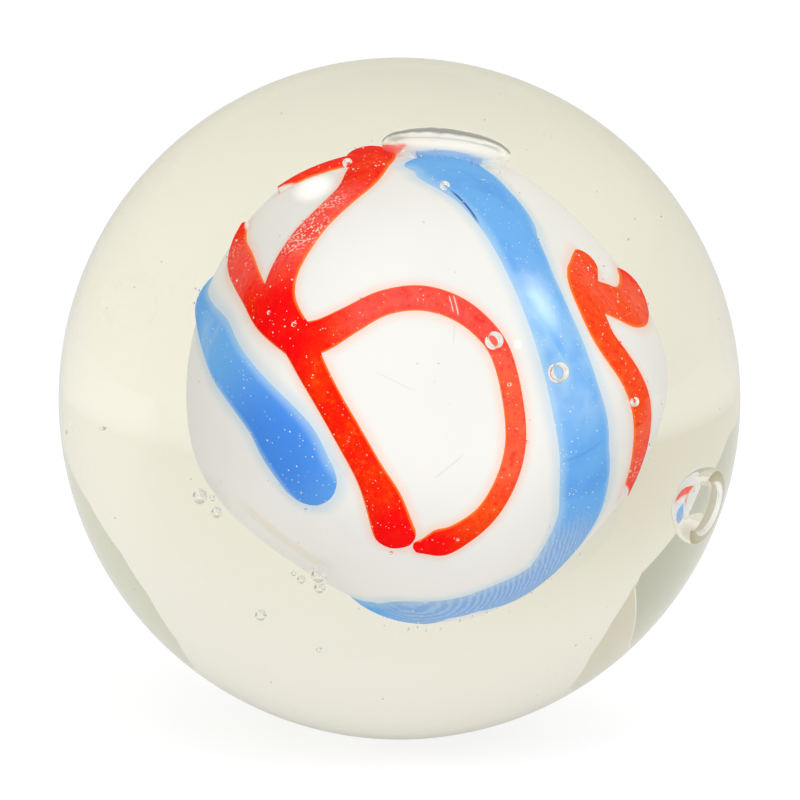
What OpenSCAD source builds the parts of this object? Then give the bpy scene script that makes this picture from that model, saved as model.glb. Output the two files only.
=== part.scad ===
// Handmade glass marble: an opaque white core with red and blue glass threads
// trailed over it, cased in clear glass that holds a few air bubbles.
// Millimetres, +Z up, origin at the centre of the ball, front towards -Y.

/* [Marble] */
// Diameter of the finished marble
marble_d = 35; // [31:0.5:50]

/* [White core] */
// Diameter of the round gather that the core is pressed from
core_d = 17.6; // [15.6:0.1:19]
// How far the core lies to the right of the marble's centre
core_right = 0.6; // [-1:0.1:1]
// How far the core lies above the marble's centre
core_up = 0.9; // [-1:0.1:1.2]
// How much of the gather is pressed away on its flattened sides
press_depth = 1.2; // [0.2:0.1:1.6]
// How crisply the pressed sides meet, where a high value is crisp
press_crispness = 10; // [6:1:14]

/* [Colour threads] */
// Usual width of the red threads
red_w = 1.1; // [0.8:0.05:1.3]
// Usual width of the blue thread
blue_w = 2.4; // [1.8:0.1:2.8]
// How far a thread stands proud of the core
thread_proud = 0.2; // [0.1:0.05:0.4]
// How deep a thread is sunk into the core
thread_sunk = 0.4; // [0.2:0.05:0.7]

/* [Air] */
// Diameter of the large bubble at the side
large_bubble_d = 2.8; // [1:0.1:3.5]
// Clear glass between the large bubble and the core
large_bubble_depth = 1.5; // [0.8:0.1:2.2]
// Length of the flat air pocket on top of the core
pocket_l = 4.2; // [2.4:0.1:5]
// Width of the flat air pocket
pocket_w = 2.6; // [1.5:0.1:3.2]
// Thickness of the flat air pocket, with the lower part that the core fills
pocket_t = 1.4; // [0.8:0.1:1.8]
// Skin of clear glass between a small bubble and the threads
air_skin = 0.1; // [0.05:0.05:0.4]

/* [Hidden] */

$fn = 96;
core_centre = [core_right, 0, core_up];
grid_step = 9;               // degrees between the points of the core's surface
section_sides = 8;           // corners of a thread's section
curve_steps = 2;             // sections of a thread for each stop of its route
cap_angles = [20, 50];       // degrees from the tip to the sections of a round end

// Directions from the core's centre are a longitude and a latitude: longitude 0
// is the front and grows to the right, and latitude 90 is the top.

// Pressed sides of the core: direction and share of press_depth
PRESSED = [
    [-75, -55, 1], [100, 45, 1.5], [-105, 60, 0.6], [-95, 30, 1.1], [-90, 0, 0.7],
    [80, -40, 0.5], [180, 80, 1.25], [0, 0, 0.35], [180, 0, 0.35]
];

// Routes of the threads over the core: direction and share of the usual width
RED_ARM = [
    [-164, 44, 1.2], [-160, 57, 1.35], [-145, 66, 1.45], [-110, 72.6, 1.45], [-77.5, 70, 1.52],
    [-59.5, 60.5, 1.7], [-54.6, 48, 1.98], [-51.3, 35, 1.95], [-45, 26, 1.7], [-35, 18, 1.5]
];
RED_SIDE_TIP = [
    [-160, 57, 1.35], [-150, 54, 1.3], [-140.5, 49, 1], [-136, 44, 0.6], [-133.5, 40, 0.25]
];
RED_SIDE_ARM = [
    [-126, 30, 0.4], [-120, 28.8, 0.85], [-109, 29.3, 1.15], [-90, 31.2, 1.3], [-66, 29, 1.27],
    [-49, 23.2, 1.36], [-35, 18, 1.5]
];
RED_BOW = [
    [-35, 18, 1.5], [-28, 20.6, 1.35], [-20, 25.6, 1.15], [-10, 31, 1.05], [2, 32.7, 1.05],
    [13, 29.8, 1], [21, 23.8, 0.92], [26, 16, 0.87], [28.7, 3, 0.85], [29.7, -10, 0.88],
    [27.8, -21, 0.93], [23, -31, 1], [14, -38.1, 1.18], [3, -40.4, 1.4]
];
RED_LEG = [
    [-35, 18, 1.5], [-31, 12, 1.3], [-25.2, 3, 1.15], [-19.4, -7, 1.15], [-13.6, -18, 1.2],
    [-9.5, -27, 1.53], [-6.8, -37, 1.72]
];
FORK_STEM = [
    [103, 31.8, 1.05], [95, 32, 1.22], [86, 31.6, 1.38], [76.5, 29.8, 1.7], [69, 25.5, 2.05],
    [65.8, 18.5, 1.95], [66.8, 12.5, 1.6], [71.2, 6, 1.45], [75, 1, 1.42], [80.5, -6, 1.42],
    [87, -14, 1.3], [95, -22.5, 0.95], [100.5, -28, 0.6], [105, -32, 0.25]
];
FORK_BRANCH = [
    [73, 26, 1.3], [85, 22.6, 1.75], [94, 18.6, 1.85], [103, 15.2, 1.55], [113, 14, 1.45],
    [122, 14, 1.4]
];
BLUE_WRAP = [
    [160, 67.2, 1.36], [142, 70.6, 1.55], [115, 72.6, 1.75], [80.5, 67, 1.84], [61, 59, 1.64],
    [51.3, 49, 1.47], [46.2, 38, 1.25], [45, 25, 1.11], [46.5, 12, 1.12], [49.2, 0, 1.2],
    [53.4, -11, 1.29], [58, -21, 1.31], [67, -32, 1.35], [81.5, -48, 1.62], [86, -58.5, 1.55],
    [68, -65.5, 1.18], [50, -69, 1.05], [26, -76, 1.05], [8, -82, 1], [-125, -87, 0.95],
    [-147, -80, 0.9], [-163, -60, 0.9], [-178, -30, 1], [-165, -3, 1], [-140, 7, 0.7],
    [-121, 10, 0.42], [-101, 11, 0.62], [-77, 9.6, 0.98], [-58, 4.8, 1.02], [-45.7, -2, 1.1],
    [-38, -10.5, 1.34], [-33, -20, 1.25]
];

// Small bubbles: direction, glass beyond the skin and diameter
SMALL_BUBBLES = [
    [23, 19, 0, 0.8], [40, 9, 0.1, 0.95], [31, 74, 0, 0.4], [-130, 66, 0, 0.35], [70, -3, 0, 0.4],
    [-99, -31, 0, 0.55], [-97, -36, 0, 0.4], [-57, -59, 0, 0.6], [-91, -66, 0, 0.4],
    [-110, -57, 1.6, 0.4]
];
LARGE_BUBBLE = [101, -26.5];   // direction of the large bubble
POCKET = [168, 56];          // direction of the flat air pocket, which lies on the core
POCKET_LEAN = [-33, 12, 0];  // how the pocket leans back and to the right

function facing(lon, lat) = [sin(lon) * cos(lat), -cos(lon) * cos(lat), sin(lat)];
function unit(v) = v / norm(v);
function sum(v, i = 0) = i < len(v) ? v[i] + sum(v, i + 1) : 0;

// Distance from the core's centre to its surface in direction u: a round gather
// with its pressed sides blended in
function core_r(u) =
    let (
        round_part = pow(2 / core_d, press_crispness),
        pressed_parts = [
            for (p = PRESSED)
                let (depth = core_d / 2 - p[2] * press_depth)
                pow(max(0, u * facing(p[0], p[1])) / depth, press_crispness)
        ]
    )
    pow(round_part + sum(pressed_parts), -1 / press_crispness);

// Point at a height over the core's surface in direction u
function over_core(u, height = 0) = core_centre + (core_r(u) + height) * u;

// Catmull-Rom curve from b to c, with t from 0 to 1
function smooth(a, b, c, d, t) =
    (2 * b + (c - a) * t + (2 * a - 5 * b + 4 * c - d) * t * t
        + (3 * b - a - 3 * c + d) * t * t * t) / 2;

// Directions along a route, each with its width, evenly between the stops
function laid(route, usual_w) =
    let (
        stops = [for (s = route) concat(facing(s[0], s[1]), s[2] * usual_w)],
        n = len(stops),
        p = concat([2 * stops[0] - stops[1]], stops, [2 * stops[n - 1] - stops[n - 2]])
    )
    [
        for (i = [1:n - 1], k = [0:curve_steps - (i < n - 1 ? 1 : 0)])
            let (q = smooth(p[i - 1], p[i], p[i + 1], p[i + 2], k / curve_steps))
            [unit([q[0], q[1], q[2]]), q[3]]
    ];

// Section of a thread in direction u, drawn at a share of its full size
function section(u, along, w, size = 1) =
    let (across = unit(cross(u, along)))
    [
        for (k = [0:section_sides - 1])
            let (
                a = 360 * (k + 0.5) / section_sides,
                height = thread_proud * (1 + size * sin(a)) / 2 - thread_sunk * (1 - size * sin(a)) / 2
            )
            over_core(unit(u + across * w / 2 * size * cos(a) / core_r(u)), height)
    ];

// Direction of a place on a round end, at an angle from its tip
function cap_place(end, outward, a) = unit(end[0] + outward * end[1] / 2 * cos(a) / core_r(end[0]));

// Closed solid through a stack of rings and a point beyond each end
module skin(rings, tips) {
    m = len(rings);
    s = len(rings[0]);
    sides = [
        for (i = [0:m - 2], k = [0:s - 1])
            let (a = i * s + k, b = i * s + (k + 1) % s)
            each [[a, a + s, b], [b, a + s, b + s]]
    ];
    start = [for (k = [0:s - 1]) [m * s, k, (k + 1) % s]];
    end = [for (k = [0:s - 1]) [m * s + 1, (m - 1) * s + (k + 1) % s, (m - 1) * s + k]];
    polyhedron(concat([for (r = rings) each r], tips), concat(sides, start, end));
}

// Thread of glass laid over the core along a route, with round ends
module thread(route, usual_w) {
    path = laid(route, usual_w);
    n = len(path);
    along = [for (i = [0:n - 1]) unit(path[min(i + 1, n - 1)][0] - path[max(i - 1, 0)][0])];
    far = n - 1;
    rings = concat(
        [for (a = cap_angles) section(cap_place(path[0], -along[0], a), along[0], path[0][1], sin(a))],
        [for (i = [0:far]) section(path[i][0], along[i], path[i][1])],
        [
            for (i = [len(cap_angles) - 1:-1:0])
                let (a = cap_angles[i])
                section(cap_place(path[far], along[far], a), along[far], path[far][1], sin(a))
        ]
    );
    middle = (thread_proud - thread_sunk) / 2;
    skin(rings, [
        over_core(cap_place(path[0], -along[0], 0), middle),
        over_core(cap_place(path[far], along[far], 0), middle)
    ]);
}

// The pressed core before the threads sink into it
module gather() {
    skin(
        [
            for (lat = [grid_step - 90:grid_step:90 - grid_step])
                [for (lon = [0:grid_step:360 - grid_step]) over_core(facing(lon, lat))]
        ],
        [over_core([0, 0, -1]), over_core([0, 0, 1])]
    );
}

module red_strokes() {
    thread(RED_ARM, red_w);
    thread(RED_SIDE_TIP, red_w);
    thread(RED_SIDE_ARM, red_w);
    thread(RED_BOW, red_w);
    thread(RED_LEG, red_w);
}

module fork_strokes() {
    thread(FORK_STEM, red_w);
    thread(FORK_BRANCH, red_w);
}

module bubble(direction, skin, d) {
    translate(over_core(facing(direction[0], direction[1]), thread_proud + skin + d / 2)) sphere(d = d);
}

module air_pocket() {
    translate(over_core(facing(POCKET[0], POCKET[1]), thread_proud / 2))
        rotate(POCKET_LEAN) scale([pocket_l, pocket_w, pocket_t]) sphere(d = 1);
}

// Clear glass ball, hollowed for the core, its threads and the trapped air
module clear_casing() color("beige", 0.3) difference() {
    sphere(d = marble_d);
    gather();
    thread(BLUE_WRAP, blue_w);
    red_strokes();
    fork_strokes();
    for (b = SMALL_BUBBLES) bubble(b, air_skin + b[2], b[3]);
    bubble(LARGE_BUBBLE, large_bubble_depth, large_bubble_d);
    air_pocket();
}

// Opaque white glass, grooved where the threads sank in
module white_core() color("white") difference() {
    gather();
    thread(BLUE_WRAP, blue_w);
    red_strokes();
    fork_strokes();
}

// Red glass laid in five strokes that run together
module red_looped_thread() color("orangered") union() red_strokes();

// Red glass laid as a stem with one branch
module red_forked_thread() color("orangered") union() fork_strokes();

// Blue glass wound down the front, under the core and back round to the left;
// the red threads were laid last and press into it where they meet it
module blue_thread() color("cornflowerblue") difference() {
    thread(BLUE_WRAP, blue_w);
    red_strokes();
    fork_strokes();
}

clear_casing();
white_core();
red_looped_thread();
red_forked_thread();
blue_thread();
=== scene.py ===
from math import cos, pi, radians, sin

import bpy
from mathutils import Euler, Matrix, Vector


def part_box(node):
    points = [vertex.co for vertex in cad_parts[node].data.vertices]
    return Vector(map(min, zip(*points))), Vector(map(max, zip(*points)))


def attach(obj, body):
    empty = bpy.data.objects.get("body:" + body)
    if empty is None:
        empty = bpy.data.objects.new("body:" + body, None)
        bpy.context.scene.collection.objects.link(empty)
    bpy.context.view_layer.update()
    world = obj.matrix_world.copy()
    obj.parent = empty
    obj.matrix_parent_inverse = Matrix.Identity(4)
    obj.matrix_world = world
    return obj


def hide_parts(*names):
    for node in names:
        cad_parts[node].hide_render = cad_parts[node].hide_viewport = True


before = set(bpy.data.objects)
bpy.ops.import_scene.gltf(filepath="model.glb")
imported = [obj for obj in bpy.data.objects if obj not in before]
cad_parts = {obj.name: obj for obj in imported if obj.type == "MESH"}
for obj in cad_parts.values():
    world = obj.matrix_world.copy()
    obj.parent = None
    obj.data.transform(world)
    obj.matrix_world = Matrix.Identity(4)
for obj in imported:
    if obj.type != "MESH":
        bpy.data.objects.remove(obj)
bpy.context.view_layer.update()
scene = bpy.context.scene
scene.view_settings.view_transform = "Standard"
mm = 0.001

# ---- Form of the white core ---------------------------------------------------------
# Hot white glass is gathered round and then pressed on a cold plate, which leaves
# broad flattened sides. The core, its threads and its bubbles all follow this form.

core_centre = Vector((0.6, 0, 0.9)) * mm
core_d = 17.6 * mm
press_depth = 1.2 * mm
press_crispness = 10
# Pressed sides: longitude and latitude in degrees, and share of the press depth.
# Longitude 0 is the front and grows to the right, and latitude 90 is the top.
pressed_sides = [
    (-75, -55, 1), (100, 45, 1.5), (-105, 60, 0.6), (-95, 30, 1.1), (-90, 0, 0.7),
    (80, -40, 0.5), (180, 80, 1.25), (0, 0, 0.35), (180, 0, 0.35),
]


def facing(lon, lat):
    """Direction from the core's centre at a longitude and a latitude."""
    lon, lat = radians(lon), radians(lat)
    return Vector((sin(lon) * cos(lat), -cos(lon) * cos(lat), sin(lat)))


def new_tree(name, inputs, outputs=(("Geometry", "Geometry", None),)):
    """An empty Geometry Nodes tree with named inputs, and the sockets at its two ends."""
    tree = bpy.data.node_groups.new(name, "GeometryNodeTree")
    for way, sockets in (("INPUT", inputs), ("OUTPUT", outputs)):
        for label, kind, usual in sockets:
            socket = tree.interface.new_socket(label, in_out=way, socket_type="NodeSocket" + kind)
            if usual is not None:
                socket.default_value = usual
    return tree, tree.nodes.new("NodeGroupInput").outputs, tree.nodes.new("NodeGroupOutput").inputs


def put(tree, kind, *values, **options):
    """Adds a node, gives its sockets values or links in order, and returns its first output."""
    node = tree.nodes.new(kind)
    for option, choice in options.items():
        setattr(node, option, choice)
    for socket, value in zip([s for s in node.inputs if s.enabled], values):
        if isinstance(value, bpy.types.NodeSocket):
            tree.links.new(value, socket)
        elif value is not None:
            socket.default_value = value
    return next((s for s in node.outputs if s.enabled), None)


def work_out(tree, operation, *values):
    return put(tree, "ShaderNodeMath", *values, operation=operation)


def times(tree, first, second):
    return work_out(tree, "MULTIPLY", first, second)


def less(tree, first, second):
    return work_out(tree, "SUBTRACT", first, second)


def turn_vector(tree, operation, *values):
    return put(tree, "ShaderNodeVectorMath", *values, operation=operation)


gather, given, result = new_tree(
    "gather_surface",
    [
        ("Direction", "Vector", None), ("Height", "Float", 0.0), ("Core diameter", "Float", core_d),
        ("Press depth", "Float", press_depth), ("Press crispness", "Float", press_crispness),
    ],
    [("Position", "Vector", None), ("Radius", "Float", None)],
)
round_r = times(gather, given["Core diameter"], 0.5)
blended = 1.0
for lon, lat, share in pressed_sides:
    cut = work_out(gather, "DIVIDE", times(gather, given["Press depth"], share), round_r)
    reach = less(gather, 1.0, cut)
    along = turn_vector(gather, "DOT_PRODUCT", given["Direction"], facing(lon, lat))
    out = work_out(gather, "DIVIDE", work_out(gather, "MAXIMUM", along, 0.0), reach)
    part = work_out(gather, "POWER", out, given["Press crispness"])
    blended = work_out(gather, "ADD", blended, part)
root = work_out(gather, "DIVIDE", -1.0, given["Press crispness"])
radius_here = times(gather, round_r, work_out(gather, "POWER", blended, root))
full_r = work_out(gather, "ADD", radius_here, given["Height"])
raised = turn_vector(gather, "SCALE", given["Direction"], full_r)
gather.links.new(turn_vector(gather, "ADD", raised, core_centre), result["Position"])
gather.links.new(radius_here, result["Radius"])


def over_core(tree, direction, height):
    """Point at a height over the core's surface in a direction."""
    return put(tree, "GeometryNodeGroup", direction, height, node_tree=gather)


# ---- Threads ------------------------------------------------------------------------
# Rods of coloured glass, softened in the flame and trailed over the hot core. Each
# stroke is oval in section, sunk by two thirds, and rounds off where it was nipped.

thread_proud = 0.2 * mm
thread_sunk = 0.4 * mm
weld_gap = 0.002 * mm


def named(tree, label, kind="FLOAT"):
    return put(tree, "GeometryNodeInputNamedAttribute", label, data_type=kind)


def keep(tree, geometry, label, value, kind="FLOAT"):
    return put(tree, "GeometryNodeStoreNamedAttribute", geometry, None, label, value, data_type=kind)


def soften(tree, geometry, crease=35):
    """Smooth shading, but for edges that turn by more than a crease in degrees."""
    smooth = put(tree, "GeometryNodeSetShadeSmooth", geometry, None, True, domain="FACE")
    angle = put(tree, "GeometryNodeInputMeshEdgeAngle")
    sharp = work_out(tree, "GREATER_THAN", angle, radians(crease))
    return put(tree, "GeometryNodeSetShadeSmooth", smooth, sharp, False, domain="EDGE")


def pressed_by(tree, geometry, collection):
    """The geometry with the solids of a collection pressed into it."""
    tools = put(tree, "GeometryNodeCollectionInfo", collection, True, False)
    return put(tree, "GeometryNodeMeshBoolean", geometry, tools, operation="DIFFERENCE", solver="MANIFOLD")


laid, given, result = new_tree(
    "laid_thread",
    [
        ("Geometry", "Geometry", None), ("Proud", "Float", thread_proud), ("Sunk", "Float", thread_sunk),
        ("Steps between stops", "Int", 24), ("Step", "Float", 0.15 * mm), ("Section sides", "Int", 20),
        ("Weld gap", "Float", weld_gap), ("Laid over it", "Collection", None), ("Material", "Material", None),
    ],
)
route = put(laid, "GeometryNodeMeshToCurve", given["Geometry"])
route = put(laid, "GeometryNodeCurveSplineType", route, spline_type="CATMULL_ROM")
route = put(laid, "GeometryNodeSetSplineResolution", route, None, given["Steps between stops"])
route = put(laid, "GeometryNodeResampleCurve", route, None, given["Step"], mode="LENGTH")
toward = turn_vector(laid, "NORMALIZE", put(laid, "GeometryNodeInputPosition"))
sideways = turn_vector(laid, "CROSS_PRODUCT", toward, put(laid, "GeometryNodeInputTangent"))
run = put(laid, "GeometryNodeSplineParameter").node.outputs["Length"]
left_to_run = less(laid, put(laid, "GeometryNodeSplineLength"), run)
from_tip = work_out(laid, "MINIMUM", run, left_to_run)
half_w = times(laid, named(laid, "width"), 0.5)
short_of_full = less(laid, 1.0, work_out(laid, "DIVIDE", from_tip, half_w))
short_of_full = work_out(laid, "MAXIMUM", short_of_full, 0.0)
size = work_out(laid, "SQRT", less(laid, 1.0, work_out(laid, "POWER", short_of_full, 2.0)))
route = keep(laid, route, "toward", toward, "FLOAT_VECTOR")
route = keep(laid, route, "sideways", turn_vector(laid, "NORMALIZE", sideways), "FLOAT_VECTOR")
route = keep(laid, route, "size", size)
ring = put(laid, "GeometryNodeCurvePrimitiveCircle", given["Section sides"], 1.0)
ring = keep(laid, ring, "turn", times(laid, put(laid, "GeometryNodeSplineParameter"), 2 * pi))
tube = put(laid, "GeometryNodeCurveToMesh", route, ring)
aside = times(laid, work_out(laid, "COSINE", named(laid, "turn")), named(laid, "size"))
aloft = times(laid, work_out(laid, "SINE", named(laid, "turn")), named(laid, "size"))
middle = named(laid, "toward", "FLOAT_VECTOR")
radius_there = over_core(laid, middle, 0.0).node.outputs["Radius"]
half_across = times(laid, times(laid, named(laid, "width"), 0.5), aside)
lean = work_out(laid, "DIVIDE", half_across, radius_there)
spread = turn_vector(laid, "SCALE", named(laid, "sideways", "FLOAT_VECTOR"), lean)
direction = turn_vector(laid, "NORMALIZE", turn_vector(laid, "ADD", middle, spread))
up_share = times(laid, work_out(laid, "ADD", 1.0, aloft), 0.5)
down_share = times(laid, less(laid, 1.0, aloft), 0.5)
upper = times(laid, given["Proud"], up_share)
lower = times(laid, given["Sunk"], down_share)
place = over_core(laid, direction, less(laid, upper, lower))
tube = put(laid, "GeometryNodeSetPosition", tube, None, place)
tube = keep(laid, tube, "edge", work_out(laid, "ABSOLUTE", aside))
tube = put(laid, "GeometryNodeMergeByDistance", tube, None, given["Weld gap"])
for label in ("toward", "sideways", "size", "turn", "width"):
    tube = put(laid, "GeometryNodeRemoveAttribute", tube, label)
stroke = put(laid, "GeometryNodeInputMeshIsland")
strokes = put(laid, "GeometryNodeSplitToInstances", tube, None, stroke, domain="FACE")
joined = put(laid, "GeometryNodeMeshBoolean", strokes, operation="UNION", solver="MANIFOLD")
joined = pressed_by(laid, joined, given["Laid over it"])
joined = put(laid, "GeometryNodeRealizeInstances", soften(laid, joined))
laid.links.new(put(laid, "GeometryNodeSetMaterial", joined, None, given["Material"]), result["Geometry"])


def routes_mesh(name, routes, usual_w):
    """Lines through the stops of each route, run on to the tips of its round ends."""
    places, widths, edges = [], [], []
    for stops in routes:
        line = [(facing(lon, lat), share * usual_w) for lon, lat, share in stops]
        for here, after in ((0, 1), (-1, -2)):
            outward = (line[here][0] - line[after][0]).normalized()
            tip = line[here][0] + outward * line[here][1] / core_d
            line.insert(0 if here == 0 else len(line), (tip.normalized(), line[here][1]))
        edges += [(len(places) + i, len(places) + i + 1) for i in range(len(line) - 1)]
        places += [towards * core_d / 2 for towards, width in line]
        widths += [width for towards, width in line]
    mesh = bpy.data.meshes.new(name)
    mesh.from_pydata(places, edges, [])
    mesh.attributes.new("width", "FLOAT", "POINT").data.foreach_set("value", widths)
    return mesh


def grow(name, tree, source, inputs):
    """Runs a tree on a new object at the origin and keeps the result as a plain mesh."""
    piece = bpy.data.objects.new(name, source)
    modifier = piece.modifiers.new(name, "NODES")
    modifier.node_group = tree
    for item in tree.interface.items_tree:
        if item.in_out == "INPUT" and item.name in inputs:
            modifier[item.identifier] = inputs[item.name]
    scene.collection.objects.link(piece)
    bpy.context.view_layer.update()
    graph = bpy.context.evaluated_depsgraph_get()
    mesh = bpy.data.meshes.new_from_object(
        piece.evaluated_get(graph), preserve_all_data_layers=True, depsgraph=graph
    )
    piece.modifiers.remove(modifier)
    mesh.materials.clear()
    mesh.materials.append(inputs["Material"])
    piece.data = mesh
    return piece


# ---- Red glass ----------------------------------------------------------------------
# Strong opaque orange-red glass. It is dense where strokes pile up, thins to orange at
# the edges, and holds trains of fine air seeds caught as the clear glass closed on it.

red_w = 1.1 * mm
red_usual = (1.0, 0.014, 0.002, 1)
red_orange = (1.0, 0.036, 0.002, 1)
red_deep = (1.0, 0.001, 0.006, 1)
red_coral = (1.0, 0.11, 0.095, 1)
red_amber = (1.0, 0.17, 0.03, 1)
red_dark = (0.80, 0.004, 0.012, 1)
red_thin = (1.0, 0.27, 0.04, 1)
red_faded = (0.90, 0.86, 0.87, 1)
seed_white = (1.0, 0.83, 0.76, 1)


def new_material(name, roughness, specular):
    """A node material with plain gloss values, its shader and its object coordinates."""
    material = bpy.data.materials.new(name)
    material.use_nodes = True
    shader = material.node_tree.nodes["Principled BSDF"]
    shader.inputs["Roughness"].default_value = roughness
    shader.inputs["Specular IOR Level"].default_value = specular
    coordinates = material.node_tree.nodes.new("ShaderNodeTexCoord")
    return material, material.node_tree, shader.inputs, coordinates.outputs["Object"]


def blend_colour(tree, share, first, second):
    """Mix of two colours, each a value or a link, by a share from 0 to 1."""
    return put(tree, "ShaderNodeMix", share, first, second, data_type="RGBA")


def ramp(tree, value, start, end, low=0.0, high=1.0):
    """The value eased from low to high between start and end."""
    return put(tree, "ShaderNodeMapRange", value, start, end, low, high, interpolation_type="SMOOTHSTEP")


def stored(tree, label):
    """A value that the mesh keeps under a label."""
    return put(tree, "ShaderNodeAttribute", attribute_name=label).node.outputs["Fac"]


def either(tree, *shares):
    """The largest of some shares."""
    most = shares[0]
    for share in shares[1:]:
        most = work_out(tree, "MAXIMUM", most, share)
    return most


def cloudy(tree, spot, size, detail=2.0, roughness=0.5):
    """Soft noise from 0 to 1, with clouds of about a size."""
    return put(tree, "ShaderNodeTexNoise", spot, 1 / size, detail, roughness)


def specks(tree, spot, spacing, radius, chance):
    """Small round specks, with a share of the cells holding one."""
    cells = put(tree, "ShaderNodeTexVoronoi", spot, 1 / spacing)
    inside = ramp(tree, cells, 0.6 * radius / spacing, radius / spacing, 1.0, 0.0)
    lot = put(tree, "ShaderNodeSeparateColor", cells.node.outputs["Color"])
    return times(tree, inside, work_out(tree, "LESS_THAN", lot, chance))


def patches(tree, spot, *places):
    """Share of soft round patches, each whole inside its inner radius and gone at its outer one."""
    found = []
    for lon, lat, inner, outer in places:
        away = turn_vector(tree, "DISTANCE", spot, core_centre + facing(lon, lat) * core_d / 2)
        found.append(ramp(tree, away, inner * mm, outer * mm, 1.0, 0.0))
    return either(tree, *found)


def marks(tree, spot, *lines):
    """Share of thin straight marks on the core, each from a direction to another and with a width."""
    found = []
    for start, end, width in lines:
        first, last = facing(*start), facing(*end)
        from_centre = turn_vector(tree, "SUBTRACT", spot, core_centre)
        off = turn_vector(tree, "DOT_PRODUCT", from_centre, first.cross(last).normalized())
        across = ramp(tree, work_out(tree, "ABSOLUTE", off), 0.2 * width * mm, 0.6 * width * mm, 1.0, 0.0)
        away = turn_vector(tree, "DISTANCE", spot, core_centre + (first + last).normalized() * core_d / 2)
        reach = (first - last).length * core_d / 4
        found.append(times(tree, across, ramp(tree, away, 0.7 * reach, 1.1 * reach, 1.0, 0.0)))
    return either(tree, *found)


# Patches on the core: longitude, latitude, and the inner and outer radius in millimetres
hazy_places = [
    (8, 31, 2.6, 5.6), (29, 2, 2.4, 5.0), (-60, 54, 2.0, 4.4), (95, -22, 1.8, 3.8), (107, 15, 0.8, 2.4),
    (84, 31, 0.8, 2.6), (-90, 31, 2.0, 3.8),
]
amber_places = [(80, 12, 4.0, 6.5), (29, -12, 2.5, 5.0)]
piled_places = [(-41, 22, 0.8, 3.2), (-7, -38, 0.6, 2.4), (4, -41, 0.5, 2.0)]
frosted_places = [(-72, 60, 0.9, 2.0), (-57, 50, 0.8, 1.7), (-108, 30, 0.7, 1.7), (92, -27, 0.3, 1.2)]
drawn_out_places = [(-133.5, 40, 0.0, 1.7), (-127, 30, 0.0, 1.7), (105, -32, 0.0, 1.4)]
# Scratches: longitude and latitude of the two ends, and the width in millimetres
scratches = [
    ((13, 33), (14, 27), 0.07), ((11.5, 33), (12.5, 28), 0.05), ((-54, 41), (-47, 48), 0.06),
    ((-61, 45), (-47, 47), 0.05), ((-116, 28), (-102, 26), 0.05),
]

red_glass, tree, shader, spot = new_material("opal_red", 0.4, 0.0)
tone = cloudy(tree, spot, 1.6 * mm, 4.0, 0.6)
colour = blend_colour(tree, ramp(tree, tone, 0.4, 0.62), red_usual, red_orange)
cloud = cloudy(tree, spot, 0.7 * mm, 3.0, 0.7)
hazy = times(tree, patches(tree, spot, *hazy_places), ramp(tree, cloud, 0.2, 0.75, 0.45, 1.0))
colour = blend_colour(tree, hazy, colour, red_coral)
amber = times(tree, patches(tree, spot, *amber_places), ramp(tree, cloud, 0.2, 0.75, 0.15, 0.5))
colour = blend_colour(tree, amber, colour, red_amber)
mottle = cloudy(tree, spot, 0.3 * mm, 4.0, 0.75)
colour = blend_colour(tree, ramp(tree, mottle, 0.5, 0.68, 0.0, 0.2), colour, red_thin)
colour = blend_colour(tree, ramp(tree, mottle, 0.34, 0.46, 0.5, 0.0), colour, red_dark)
colour = blend_colour(tree, times(tree, patches(tree, spot, *piled_places), 0.85), colour, red_deep)
edge = stored(tree, "edge")
grain = cloudy(tree, spot, 0.09 * mm, 2.0, 0.8)
rough_edge = work_out(tree, "ADD", edge, times(tree, grain, 0.12))
colour = blend_colour(tree, ramp(tree, rough_edge, 0.86, 0.99, 0.0, 0.8), colour, red_thin)
frost = times(tree, patches(tree, spot, *frosted_places), specks(tree, spot, 0.13 * mm, 0.062 * mm, 0.7))
colour = blend_colour(tree, frost, colour, seed_white)
fine = either(
    tree, specks(tree, spot, 0.11 * mm, 0.03 * mm, 0.1), specks(tree, spot, 0.4 * mm, 0.046 * mm, 0.45)
)
trains = ramp(tree, cloudy(tree, spot, 1.7 * mm), 0.34, 0.56, 0.2, 1.0)
colour = blend_colour(tree, times(tree, fine, trains), colour, seed_white)
colour = blend_colour(tree, times(tree, marks(tree, spot, *scratches), 0.7), colour, seed_white)
drawn_out = work_out(tree, "ADD", patches(tree, spot, *drawn_out_places), edge)
colour = blend_colour(tree, ramp(tree, drawn_out, 1.0, 1.2), colour, red_faded)
tree.links.new(colour, shader["Base Color"])

# ---- Red looped thread --------------------------------------------------------------
# Five strokes that run together: a broad arm down from the top with a thin tip beside it,
# a side arm round the left, a bow that loops across the front, and a leg that ends beside the bow.

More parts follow.
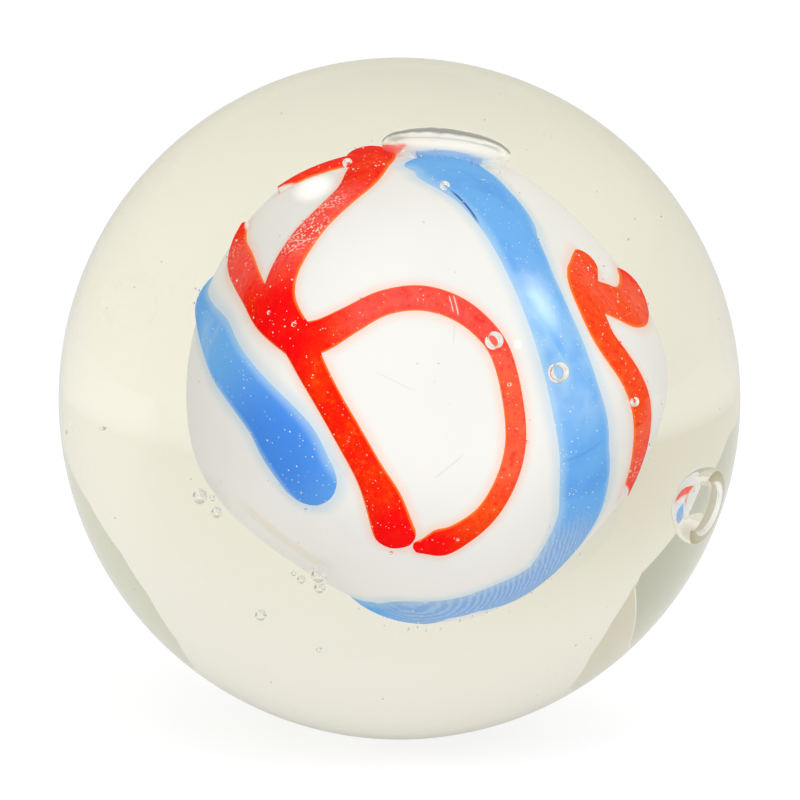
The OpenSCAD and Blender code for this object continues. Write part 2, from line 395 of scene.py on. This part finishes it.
# Each stop of a stroke: longitude, latitude and share of the usual width
looped_routes = [
    [
        (-164, 44, 1.2), (-160, 57, 1.35), (-145, 66, 1.45), (-110, 72.6, 1.45), (-77.5, 70, 1.52),
        (-59.5, 60.5, 1.7), (-54.6, 48, 1.98), (-51.3, 35, 1.95), (-45, 26, 1.7), (-35, 18, 1.5),
    ],
    [(-160, 57, 1.35), (-150, 54, 1.3), (-140.5, 49, 1), (-136, 44, 0.6), (-133.5, 40, 0.25)],
    [
        (-126, 30, 0.4), (-120, 28.8, 0.85), (-109, 29.3, 1.15), (-90, 31.2, 1.3), (-66, 29, 1.27),
        (-49, 23.2, 1.36), (-35, 18, 1.5),
    ],
    [
        (-35, 18, 1.5), (-28, 20.6, 1.35), (-20, 25.6, 1.15), (-10, 31, 1.05), (2, 32.7, 1.05),
        (13, 29.8, 1), (21, 23.8, 0.92), (26, 16, 0.87), (28.7, 3, 0.85), (29.7, -10, 0.88),
        (27.8, -21, 0.93), (23, -31, 1), (15, -37.7, 1.2), (8.5, -40.4, 1.4), (2.2, -41.6, 0.7),
    ],
    [
        (-35, 18, 1.5), (-31, 12, 1.3), (-25.2, 3, 1.15), (-19.4, -7, 1.15), (-13.6, -18, 1.2),
        (-9.5, -27, 1.53), (-6.8, -37, 1.72),
    ],
]
looped = grow(
    "red_looped_glass", laid, routes_mesh("looped_routes", looped_routes, red_w), {"Material": red_glass}
)
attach(looped, "root")
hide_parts("red_looped_thread")

# ---- Red forked thread --------------------------------------------------------------
# A stem that runs down the right side and ends in a point behind, with one branch
# pulled out to a knob near its upper end.

forked_routes = [
    [
        (103, 31.8, 1.05), (95, 32, 1.22), (86, 31.6, 1.38), (76.5, 29.8, 1.7), (69, 25.5, 2.05),
        (65.8, 18.5, 1.95), (66.8, 12.5, 1.6), (71.2, 6, 1.45), (75, 1, 1.42), (80.5, -6, 1.42),
        (87, -14, 1.3), (95, -22.5, 0.95), (100.5, -28, 0.6), (105, -32, 0.25),
    ],
    [(73, 26, 1.3), (85, 22.6, 1.75), (94, 18.6, 1.85), (103, 15.2, 1.55), (113, 14, 1.45), (122, 14, 1.4)],
]
forked = grow(
    "red_forked_glass", laid, routes_mesh("forked_routes", forked_routes, red_w), {"Material": red_glass}
)
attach(forked, "root")
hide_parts("red_forked_thread")
red_threads = bpy.data.collections.new("red_threads")
all_threads = bpy.data.collections.new("threads")
for thread in (looped, forked):
    red_threads.objects.link(thread)
    all_threads.objects.link(thread)

# ---- Blue thread --------------------------------------------------------------------
# One broad rod of milky blue glass wound down the front, under the core and back round
# to a paddle end at the left. It was laid first, and the red strokes press into it.

blue_w = 2.4 * mm
blue_deep = (0.07, 0.28, 0.92, 1)
blue_usual = (0.17, 0.47, 1.0, 1)
blue_milky = (0.48, 0.72, 1.0, 1)
blue_line = (0.03, 0.08, 0.35, 1)
blue_dusty = (0.50, 0.45, 0.60, 1)
seed_blue = (0.85, 0.9, 1.0, 1)
cord_fineness = 1500.0

blue_glass, tree, shader, spot = new_material("milky_blue", 0.4, 0.0)
tone = ramp(tree, cloudy(tree, spot, 3 * mm, 3.0, 0.6), 0.5, 0.75, 0.0, 0.5)
paddle = patches(tree, spot, (-40, -11, 0.8, 5.2))
colour = blend_colour(tree, either(tree, paddle, tone), blue_usual, blue_deep)
colour = blend_colour(tree, ramp(tree, stored(tree, "edge"), 0.62, 0.95, 0.0, 0.6), colour, blue_milky)
# Paler patches: the one at longitude 46 is a painted highlight under the side softbox's reflection, the other
# is paler blue glass
milky_and_painted_highlight = patches(tree, spot, (46, 16, 1.5, 5.0), (-90, 12, 0.8, 3.0))
milky_and_painted_highlight = times(tree, milky_and_painted_highlight, ramp(tree, cloudy(tree, spot, 1.4 * mm), 0.3, 0.8, 0.1, 0.7))
colour = blend_colour(tree, milky_and_painted_highlight, colour, blue_milky)
seam = marks(tree, spot, ((37, 31), (46, 11), 0.35))
colour = blend_colour(tree, times(tree, seam, 0.75), colour, blue_usual)
tail = patches(tree, spot, (70, -68, 3.0, 5.2))
colour = blend_colour(tree, times(tree, tail, 0.33), colour, blue_dusty)
cords = put(tree, "ShaderNodeTexWave", spot, cord_fineness, 4.0, 3.0, 1.2, bands_direction="DIAGONAL")
cords = times(tree, tail, ramp(tree, cords, 0.3, 0.95, 0.0, 0.5))
colour = blend_colour(tree, cords, colour, blue_milky)
fine = either(
    tree, specks(tree, spot, 0.3 * mm, 0.045 * mm, 0.25), specks(tree, spot, 0.12 * mm, 0.03 * mm, 0.12)
)
colour = blend_colour(tree, fine, colour, seed_blue)
faint_fold = times(tree, marks(tree, spot, ((44, -17), (61, -12), 0.22)), 0.16)
folds = either(tree, marks(tree, spot, ((54, 79), (34, 56), 0.14)), faint_fold)
colour = blend_colour(tree, times(tree, folds, 0.85), colour, blue_line)
tree.links.new(colour, shader["Base Color"])

blue_routes = [[
    (160, 67.2, 1.36), (142, 70.6, 1.55), (115, 72.6, 1.75), (80.5, 67, 1.84), (61, 59, 1.64),
    (51.3, 49, 1.47), (46.2, 38, 1.25), (45, 25, 1.11), (46.5, 12, 1.12), (49.2, 0, 1.2),
    (53.4, -11, 1.29), (58, -21, 1.31), (67, -32, 1.35), (81.5, -48, 1.62), (86, -58.5, 1.55),
    (68, -65.5, 1.18), (50, -69, 1.05), (26, -76, 1.05), (8, -82, 1), (-125, -87, 0.95),
    (-147, -80, 0.9), (-163, -60, 0.9), (-178, -30, 1), (-165, -3, 1), (-140, 7, 0.7),
    (-121, 10, 0.42), (-101, 11, 0.62), (-77, 9.6, 0.98), (-58, 4.8, 1.02), (-45.7, -2, 1.1),
    (-38, -10.5, 1.34), (-33, -20, 1.25),
]]
blue = grow(
    "blue_thread_glass", laid, routes_mesh("blue_routes", blue_routes, blue_w),
    {"Material": blue_glass, "Section sides": 28, "Laid over it": red_threads},
)
all_threads.objects.link(blue)
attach(blue, "root")
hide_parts("blue_thread")

# ---- White core ---------------------------------------------------------------------
# Dense opaque white glass, grooved where the threads sank in. Colour has bled a little
# way from each thread, and faint cords in the glass show as grey hairlines.

white_usual = (0.89, 0.895, 0.925, 1)
white_shade = (0.84, 0.845, 0.87, 1)
white_cord = (0.62, 0.63, 0.64, 1)
# Colour of the painted shade on the core's lower left rim
white_painted_shade = (0.82, 0.76, 0.68, 1)
blush_pink = (0.97, 0.68, 0.64, 1)
blush_blue = (0.62, 0.76, 0.93, 1)

red_blush_r = 0.45 * mm
blue_blush_r = 0.6 * mm
# Hairline cords: longitude and latitude of the two ends, and the width in millimetres
hairlines = [
    ((13, 27), (12, 18), 0.07), ((-13, 12), (2, 5), 0.06), ((5, -21), (16, -12), 0.07),
    ((-24, -14), (-19, -21), 0.05),
]

white_glass, tree, shader, spot = new_material("opal_white", 0.45, 0.0)
tone = ramp(tree, cloudy(tree, spot, 6 * mm), 0.35, 0.7, 0.0, 0.5)
colour = blend_colour(tree, tone, white_usual, white_shade)
colour = blend_colour(tree, times(tree, marks(tree, spot, *hairlines), 0.35), colour, white_cord)
bled_red = ramp(tree, stored(tree, "from_red"), 0.0, red_blush_r, 0.6, 0.0)
colour = blend_colour(tree, bled_red, colour, blush_pink)
bled_blue = ramp(tree, stored(tree, "from_blue"), 0.0, blue_blush_r, 0.7, 0.0)
colour = blend_colour(tree, bled_blue, colour, blush_blue)
# A warm painted shade darkens the core's lower left rim
painted_shade_rim = marks(tree, spot, ((-78, -32), (-70, -66), 1.7))
colour = blend_colour(tree, times(tree, painted_shade_rim, 0.5), colour, white_painted_shade)
crumbs = times(tree, patches(tree, spot, (117, 4, 0.35, 0.9)), specks(tree, spot, 0.2 * mm, 0.08 * mm, 0.6))
colour = blend_colour(tree, crumbs, colour, red_usual)
tree.links.new(colour, shader["Base Color"])

grooved, given, result = new_tree(
    "grooved_core",
    [
        ("Geometry", "Geometry", None), ("Subdivisions", "Int", 7), ("Threads", "Collection", None),
        ("Red threads", "Collection", None), ("Blue thread", "Object", None), ("Material", "Material", None),
    ],
)
ball = put(grooved, "GeometryNodeMeshIcoSphere", 1.0, given["Subdivisions"])
outward = turn_vector(grooved, "NORMALIZE", put(grooved, "GeometryNodeInputPosition"))
core = put(grooved, "GeometryNodeSetPosition", ball, None, over_core(grooved, outward, 0.0))
core = pressed_by(grooved, core, given["Threads"])
reds = put(grooved, "GeometryNodeCollectionInfo", given["Red threads"], True, False)
reds = put(grooved, "GeometryNodeRealizeInstances", reds)
from_reds = put(grooved, "GeometryNodeProximity", reds, target_element="FACES").node.outputs["Distance"]
core = keep(grooved, core, "from_red", from_reds)
blues = put(grooved, "GeometryNodeObjectInfo", given["Blue thread"]).node.outputs["Geometry"]
from_blues = put(grooved, "GeometryNodeProximity", blues, target_element="FACES").node.outputs["Distance"]
core = keep(grooved, core, "from_blue", from_blues)
core = put(grooved, "GeometryNodeRealizeInstances", soften(grooved, core))
grooved.links.new(put(grooved, "GeometryNodeSetMaterial", core, None, given["Material"]), result["Geometry"])

white_core = grow(
    "white_core_glass", grooved, bpy.data.meshes.new("core_start"),
    {"Threads": all_threads, "Red threads": red_threads, "Blue thread": blue, "Material": white_glass},
)
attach(white_core, "root")
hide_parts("white_core")

# ---- Clear casing -------------------------------------------------------------------
# Two or three gathers of clear soda glass over the core, turned in a wooden block until
# round and polished. Air got in: a few bubbles, a flat pocket on the core, and seeds.

marble_r = (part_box("clear_casing")[1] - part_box("clear_casing")[0]).z / 2
air_skin = 0.1 * mm
# Bubbles: longitude, latitude, glass beyond the skin and diameter, in millimetres
small_bubbles = [
    (23, 19, 0, 0.8), (40, 9, 0.1, 0.95), (31, 74, 0, 0.4), (-130, 66, 0, 0.35), (70, -3, 0, 0.4),
    (-99, -31, 0, 0.55), (-97, -36, 0, 0.4), (-57, -59, 0, 0.6), (-91, -66, 0, 0.4),
    (-110, -57, 1.6, 0.4), (-36, 22, 0, 0.25), (-46, 24, 0, 0.2), (27, 7, 0, 0.2),
    (-110, -70, 1.8, 0.2), (-8, -42, 0, 0.16), (-34, -29, 0, 0.16), (14, -37, 0, 0.16), (32, -9, 0, 0.17),
    (-91, -32, 0, 0.24), (-104, -61, 0, 0.3), (-65, -62, 0, 0.28), (-96, -59, 0.1, 0.2),
]
large_bubble = (101, -26.5, 1.4, 2.8)
pocket_size = Vector((4.2, 2.6, 1.4)) * mm
pocket_side = facing(168, 56)
pocket_turn = Euler((radians(-33), radians(6), 0))
camera_side = facing(0, 10)
most_bounces_shown = 6.0
trapped_light = (0.72, 0.71, 0.62, 1)
passing_light = (0.96, 0.955, 0.94, 1)
film_white = (0.93, 0.94, 0.95, 1)
# Colour of the painted dark line that stands in for a reflection along the pocket's upper edge
painted_rim_dark = (0.13, 0.14, 0.15, 1)
glass_tint = (0.60, 0.52, 0.16, 1)
tint_density = 11.0

clear_glass, tree, shader, _ = new_material("soda_glass", 0.0, 0.5)
shader["Base Color"].default_value = (1, 1, 1, 1)
shader["Transmission Weight"].default_value = 1.0
shader["IOR"].default_value = 1.5
surface = tree.nodes["Principled BSDF"].outputs[0]
film = stored(tree, "film")
painted_rim = stored(tree, "painted_rim")
# The pocket's wall gets a whitish film, and along its upper edge a painted dark line that stands in for a
# dark reflection
film_share = either(tree, times(tree, film, 0.28), times(tree, painted_rim, 0.7))
film_look = put(tree, "ShaderNodeBsdfDiffuse", blend_colour(tree, painted_rim, film_white, painted_rim_dark))
surface = put(tree, "ShaderNodeMixShader", film_share, surface, film_look)
path = tree.nodes.new("ShaderNodeLightPath").outputs
# Past the last bounce shown, the glass glows with painted light in place of the light still trapped in it
trapped = work_out(tree, "GREATER_THAN", path["Ray Depth"], most_bounces_shown)
painted_trapped_glow = put(tree, "ShaderNodeEmission", trapped_light, 1.0)
surface = put(tree, "ShaderNodeMixShader", trapped, surface, painted_trapped_glow)
lets_light_in = put(tree, "ShaderNodeBsdfTransparent", passing_light)
surface = put(tree, "ShaderNodeMixShader", path["Is Shadow Ray"], surface, lets_light_in)
tree.links.new(surface, tree.nodes["Material Output"].inputs["Surface"])
tint = put(tree, "ShaderNodeVolumeAbsorption", glass_tint, tint_density)
tree.links.new(tint, tree.nodes["Material Output"].inputs["Volume"])


def air_mesh(name, bubbles):
    """Points that hold a bubble's direction, the height of its centre and its diameter."""
    mesh = bpy.data.meshes.new(name)
    mesh.from_pydata([facing(lon, lat) for lon, lat, gap, d in bubbles], [], [])
    heights = [thread_proud + air_skin + (gap + d / 2) * mm for lon, lat, gap, d in bubbles]
    mesh.attributes.new("height", "FLOAT", "POINT").data.foreach_set("value", heights)
    mesh.attributes.new("diameter", "FLOAT", "POINT").data.foreach_set("value", [b[3] * mm for b in bubbles])
    return mesh


casing, given, result = new_tree(
    "cased_glass",
    [
        ("Geometry", "Geometry", None), ("Marble radius", "Float", marble_r), ("Subdivisions", "Int", 7),
        ("Large bubble", "Object", None), ("Threads", "Collection", None),
        ("Pocket size", "Vector", pocket_size), ("Pocket height", "Float", 0.22 * mm),
        ("Seeds per square metre", "Float", 0.7e6), ("Loose seeds per square metre", "Float", 0.15e6),
        ("Largest seed", "Float", 0.1 * mm), ("Seed", "Int", 7),
        ("Least lift", "Float", 0.06 * mm), ("Most lift", "Float", 0.3 * mm),
        ("Deepest", "Float", -5.5 * mm), ("Shallowest", "Float", -0.3 * mm),
        ("Inner wall height", "Float", -0.7 * mm), ("Material", "Material", None),
    ],
)
here = put(casing, "GeometryNodeInputPosition")
outward = turn_vector(casing, "NORMALIZE", here)
tiny_ball = put(casing, "GeometryNodeMeshIcoSphere", 0.5, 2)
small_ball = put(casing, "GeometryNodeMeshIcoSphere", 0.5, 4)
fine_ball = put(casing, "GeometryNodeMeshIcoSphere", 0.5, 5)


def bubbles_at(points, shape):
    """Round bubbles over the core, as high and as wide as each point says."""
    place = over_core(casing, outward, named(casing, "height"))
    placed = put(casing, "GeometryNodeSetPosition", points, None, place)
    size = named(casing, "diameter")
    placed = put(casing, "GeometryNodeInstanceOnPoints", placed, None, shape, None, None, None, size)
    for label in ("height", "diameter"):
        placed = put(casing, "GeometryNodeRemoveAttribute", placed, label)
    return placed


def scattered(surface, where, density, nearest, furthest, seed):
    """Tiny balls on a surface where a rule holds, each moved outwards by a random height."""
    spots = put(casing, "GeometryNodeDistributePointsOnFaces", surface, where, density, given["Seed"])
    height = put(casing, "FunctionNodeRandomValue", nearest, furthest, None, seed, data_type="FLOAT")
    moved = turn_vector(casing, "SCALE", outward, height)
    spots = put(casing, "GeometryNodeSetPosition", spots, None, None, moved)
    size = put(casing, "FunctionNodeRandomValue", 0.35, 1.0, None, 2, data_type="FLOAT")
    size = times(casing, work_out(casing, "POWER", size, 2.0), given["Largest seed"])
    return put(casing, "GeometryNodeInstanceOnPoints", spots, None, tiny_ball, None, None, None, size)


small = bubbles_at(given["Geometry"], small_ball)
large = put(casing, "GeometryNodeObjectInfo", given["Large bubble"]).node.outputs["Geometry"]
large = bubbles_at(large, fine_ball)

# The flat pocket, with a painted dark line, standing in for a dark reflection, where its upper edge turns
# away from the camera
pocket = put(casing, "GeometryNodeTransform", fine_ball, None, None, given["Pocket size"])
pocket_place = over_core(casing, pocket_side, given["Pocket height"])
pocket = put(casing, "GeometryNodeTransform", pocket, pocket_place, pocket_turn)
normal = put(casing, "GeometryNodeInputNormal")
painted_rim_share = work_out(casing, "ABSOLUTE", turn_vector(casing, "DOT_PRODUCT", normal, camera_side))
uneven = cloudy(casing, here, 0.4 * mm, 3.0, 0.6)
painted_rim_share = ramp(casing, work_out(casing, "DIVIDE", painted_rim_share, uneven), 0.25, 0.6, 1.0, 0.0)
up_there = put(casing, "ShaderNodeSeparateXYZ", normal).node.outputs["Z"]
painted_rim_share = times(casing, painted_rim_share, ramp(casing, up_there, 0.0, 0.3))
pocket = keep(casing, pocket, "painted_rim", painted_rim_share)
pocket = keep(casing, pocket, "film", 1.0)

# Seeds caught just over the threads, and loose ones that drifted outwards
skin = put(casing, "GeometryNodeCollectionInfo", given["Threads"], True, False)
skin = put(casing, "GeometryNodeRealizeInstances", skin)
skin = put(casing, "GeometryNodeRemoveAttribute", skin, "edge")
on_top = work_out(casing, "GREATER_THAN", turn_vector(casing, "DOT_PRODUCT", normal, outward), 0.8)
seeds = scattered(
    skin, on_top, given["Seeds per square metre"], given["Least lift"], given["Most lift"], 1
)
shell = put(casing, "GeometryNodeMeshIcoSphere", given["Marble radius"], 5)
drifts = work_out(casing, "GREATER_THAN", cloudy(casing, here, 7 * mm), 0.52)
loose = scattered(
    shell, drifts, given["Loose seeds per square metre"], given["Deepest"], given["Shallowest"], 3
)

# Room for the core. Its wall lies inside the core, so that no thin film of air shows.
room = put(casing, "GeometryNodeMeshIcoSphere", 1.0, 6)
wall = over_core(casing, outward, given["Inner wall height"])
room = put(casing, "GeometryNodeSetPosition", room, None, wall)
air = casing.nodes.new("GeometryNodeJoinGeometry")
for part in (small, large, pocket, seeds, loose, room):
    casing.links.new(part, air.inputs[0])
air = put(casing, "GeometryNodeRealizeInstances", air.outputs[0])
air = put(casing, "GeometryNodeFlipFaces", air)
outside = put(casing, "GeometryNodeMeshIcoSphere", given["Marble radius"], given["Subdivisions"])
whole = casing.nodes.new("GeometryNodeJoinGeometry")
for part in (air, outside):
    casing.links.new(part, whole.inputs[0])
whole = put(casing, "GeometryNodeSetShadeSmooth", whole.outputs[0], None, True)
casing.links.new(put(casing, "GeometryNodeSetMaterial", whole, None, given["Material"]), result["Geometry"])

large_point = bpy.data.objects.new("large_bubble_place", air_mesh("large_bubble_place", [large_bubble]))
scene.collection.objects.link(large_point)
clear = grow(
    "clear_casing_glass", casing, air_mesh("bubble_places", small_bubbles),
    {"Large bubble": large_point, "Threads": all_threads, "Material": clear_glass},
)
bpy.data.objects.remove(large_point)
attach(clear, "root")
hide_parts("clear_casing")
for collection in (all_threads, red_threads):
    bpy.data.collections.remove(collection)

# ---- Light tent ---------------------------------------------------------------------
# The marble stands on a pale table in a tent of white cloth that is darker behind the
# camera. Through the glass the tent looks a little yellower, and darker to the left.

table_r = 4.0
# The table's paint fades into the white tent from the near ring to the far one
near_ring = 0.12
far_ring = 0.45
table_grey = 0.36
near_glow = 0.6
# Light taken from what the glass mirrors, in front of the marble and behind it
mirrored_front = 0.96
mirrored_back = 0.28
# Light taken from what shows through the glass, to the left, low on the left and below
shade_left = 0.18
shade_low_left = 0.26
shade_below = 0.34
tent_white = (1, 1, 1, 1)
tint_right = (1, 1, 0.94, 1)
tint_left = (1, 0.99, 0.88, 1)


def round_sheet(name, width, depth, height, sides):
    """A flat oval of one face."""
    mesh = bpy.data.meshes.new(name)
    turns = [2 * pi * i / sides for i in range(sides)]
    rim = [(width / 2 * cos(turn), depth / 2 * sin(turn), height) for turn in turns]
    mesh.from_pydata(rim, [], [tuple(range(sides))])
    return mesh


def ray_kinds(tree):
    """The light path, and shares for a ray mirrored in the glass, straight through it, or bounced."""
    path = tree.nodes.new("ShaderNodeLightPath").outputs
    mirrored = either(tree, less(tree, path["Is Glossy Ray"], path["Is Transmission Ray"]), 0.0)
    bounced = work_out(tree, "MINIMUM", path["Diffuse Depth"], 1.0)
    straight = either(tree, less(tree, path["Is Transmission Ray"], bounced), 0.0)
    return path, mirrored, straight, bounced


def turned_left(tree, sideways):
    """Share that grows as a line of sight turns from the right to the left."""
    return ramp(tree, sideways, 0.2, -0.6)


table_mesh = round_sheet("table", 2 * table_r, 2 * table_r, -marble_r, 64)
table = bpy.data.objects.new("table", table_mesh)
scene.collection.objects.link(table)
table_white, tree, shader, spot = new_material("table_white", 0.9, 0.0)
path, mirrored, straight, bounced = ray_kinds(tree)
away = turn_vector(tree, "LENGTH", spot)
across = put(tree, "ShaderNodeSeparateXYZ", spot).node.outputs
steepness = work_out(tree, "DIVIDE", marble_r, away)
to_left = turned_left(tree, work_out(tree, "DIVIDE", across["X"], away))
yellower = either(tree, to_left, ramp(tree, steepness, 0.0, 0.25))
through_glass = blend_colour(tree, yellower, tint_right, tint_left)
tree.links.new(blend_colour(tree, straight, tent_white, through_glass), shader["Emission Color"])
dark_front = times(tree, ramp(tree, across["Y"], -0.03, 0.01, mirrored_front, mirrored_back), mirrored)
paint = ramp(tree, away, near_ring, far_ring, table_grey, 0.0)
paint = times(tree, paint, less(tree, 1.0, dark_front))
tree.links.new(put(tree, "ShaderNodeCombineColor", paint, paint, paint), shader["Base Color"])
shaded_left = times(tree, to_left, ramp(tree, steepness, 0.0, 0.25, shade_left, shade_low_left))
shaded_below = ramp(tree, steepness, 0.0, 0.9, 0.0, shade_below)
shaded = times(tree, either(tree, shaded_left, shaded_below), straight)
seen = work_out(tree, "ADD", path["Is Camera Ray"], path["Is Glossy Ray"])
seen = work_out(tree, "ADD", seen, path["Is Transmission Ray"])
seen = less(tree, less(tree, work_out(tree, "MINIMUM", seen, 1.0), shaded), dark_front)
seen = work_out(tree, "ADD", seen, times(tree, bounced, 0.6))
glow = ramp(tree, away, near_ring, far_ring, near_glow, 1.0)
tree.links.new(times(tree, seen, glow), shader["Emission Strength"])
table_mesh.materials.append(table_white)

tent = bpy.data.worlds.new("light_tent")
scene.world = tent
tent.use_nodes = True
tree = tent.node_tree
path, mirrored, straight, bounced = ray_kinds(tree)
looking = put(tree, "ShaderNodeSeparateXYZ", tree.nodes.new("ShaderNodeTexCoord").outputs["Generated"])
looking = looking.node.outputs
dark_front = times(tree, ramp(tree, looking["Y"], -0.6, 0.95, mirrored_front, mirrored_back), mirrored)
to_left = turned_left(tree, looking["X"])
shaded = times(tree, to_left, ramp(tree, looking["Z"], 0.0, 0.45, shade_left, 0.03))
strength = less(tree, less(tree, 1.0, dark_front), times(tree, shaded, straight))
tree.links.new(strength, tree.nodes["Background"].inputs["Strength"])
low = times(tree, ramp(tree, looking["Z"], 0.0, 0.5, 1.0, 0.25), straight)
through_glass = blend_colour(tree, either(tree, to_left, mirrored), tint_right, tint_left)
tinted = blend_colour(tree, either(tree, low, mirrored), tent_white, through_glass)
tree.links.new(tinted, tree.nodes["Background"].inputs["Color"])

# ---- Lamps and grey panels ----------------------------------------------------------
# Two round softboxes and a small lamp give the marble its highlights, and fill lamps
# light it evenly. Three grey panels stand where the tent is open at the back corners.

softbox_away = 0.55
panel_away = 0.6


def aimed_at_marble(lon, lat, distance, name, data):
    """An object that faces the marble from a longitude and a latitude."""
    holder = bpy.data.objects.new(name, data)
    holder.location = facing(lon, lat) * distance
    holder.rotation_euler = facing(lon, lat).to_track_quat("Z", "Y").to_euler()
    holder.visible_camera = False
    holder.visible_transmission = False
    scene.collection.objects.link(holder)
    return holder


def fill_lamp(name, lon, lat, distance, width, height, radiance):
    """A rectangular lamp that lights the glass but gives it no highlight."""
    lamp = bpy.data.lights.new(name, "AREA")
    lamp.shape = "RECTANGLE"
    lamp.size = width
    lamp.size_y = height
    lamp.energy = radiance * pi * width * height
    aimed_at_marble(lon, lat, distance, name, lamp).visible_glossy = False


def glowing(name, colour):
    """A black material that only glows, and is left out of the search for lamps."""
    material, tree, shader, spot = new_material(name, 0.5, 0.0)
    material.cycles.emission_sampling = "NONE"
    shader["Base Color"].default_value = (0, 0, 0, 1)
    shader["Emission Color"].default_value = colour
    shader["Emission Strength"].default_value = 1.0
    return material, tree, shader, spot


def soft_glow(name, lon, lat, width, height, radiance, hard):
    """The face of a round softbox, bright in the middle, that shows only as a highlight."""
    mesh = round_sheet(name, width, height, 0, 48)
    glow, tree, shader, spot = glowing(name, tent_white)
    out = turn_vector(tree, "LENGTH", turn_vector(tree, "DIVIDE", spot, Vector((width / 2, height / 2, 1))))
    tree.links.new(ramp(tree, out, hard, 1.0, radiance, 0.0), shader["Emission Strength"])
    mesh.materials.append(glow)
    face = aimed_at_marble(lon, lat, softbox_away, name, mesh)
    face.visible_diffuse = False
    face.visible_shadow = False


def grey_panel(name, grey, corners):
    """A flat panel between corners, each a longitude and a latitude seen from the marble."""
    mesh = bpy.data.meshes.new(name)
    places = [facing(lon, lat) * panel_away for lon, lat in corners]
    mesh.from_pydata(places, [], [tuple(range(len(corners)))])
    mesh.materials.append(glowing(name, grey)[0])
    panel = bpy.data.objects.new(name, mesh)
    scene.collection.objects.link(panel)
    panel.visible_camera = False
    panel.visible_diffuse = False
    panel.visible_glossy = False
    panel.visible_shadow = False


soft_glow("top_softbox", -91, 68, 0.13, 0.13, 6.0, 0.3)
soft_glow("side_softbox", 58, 34, 0.14, 0.27, 9.0, 0.0)
soft_glow("small_lamp", 43, 24, 0.03, 0.03, 14.0, 0.2)
fill_lamp("side_fill", 60, 33, softbox_away, 0.2, 0.26, 1.0)
fill_lamp("top_fill", -90, 71, softbox_away, 0.12, 0.12, 5.0)
fill_lamp("broad_fill", 18, 45, 0.9, 0.7, 0.7, 3.3)
grey_panel("right_panel", (0.665, 0.70, 0.60, 1), [
    (98, 6), (119, 12), (129, 18), (132.5, 25), (130.5, 36), (118, 48), (86, 50), (86, 6),
])
grey_panel("left_panel", (0.51, 0.54, 0.46, 1), [
    (-112, 2), (-126, 8), (-141, 18), (-141, 20.5), (-133.5, 29), (-122, 39), (-100, 47), (-80, 48), (-80, 2),
])
grey_panel("left_far_panel", (0.72, 0.69, 0.58, 1), [
    (-141.5, 19), (-142.5, 27), (-141, 35.5), (-131, 50), (-100, 58), (-100, 47.8), (-121.9, 39.5),
    (-133.4, 29.4), (-141.1, 20.8),
])

# ---- Camera -------------------------------------------------------------------------
# A long lens looks a little down on the marble from the front. Light is followed far
# enough to pass the casing, a bubble in it and the walls of both.

light_steps = 16
film_w = 36.0
focal_length = 438.2
camera_away = 0.5
aim = Vector((0.026, 0, -0.078)) * mm

scene.cycles.max_bounces = light_steps
scene.cycles.glossy_bounces = light_steps
scene.cycles.transmission_bounces = light_steps
lens = bpy.data.cameras.new("camera")
lens.sensor_width = film_w
lens.lens = focal_length
camera = bpy.data.objects.new("camera", lens)
scene.collection.objects.link(camera)
camera.location = camera_side * camera_away + aim
camera.rotation_euler = camera_side.to_track_quat("Z", "Y").to_euler()
scene.camera = camera
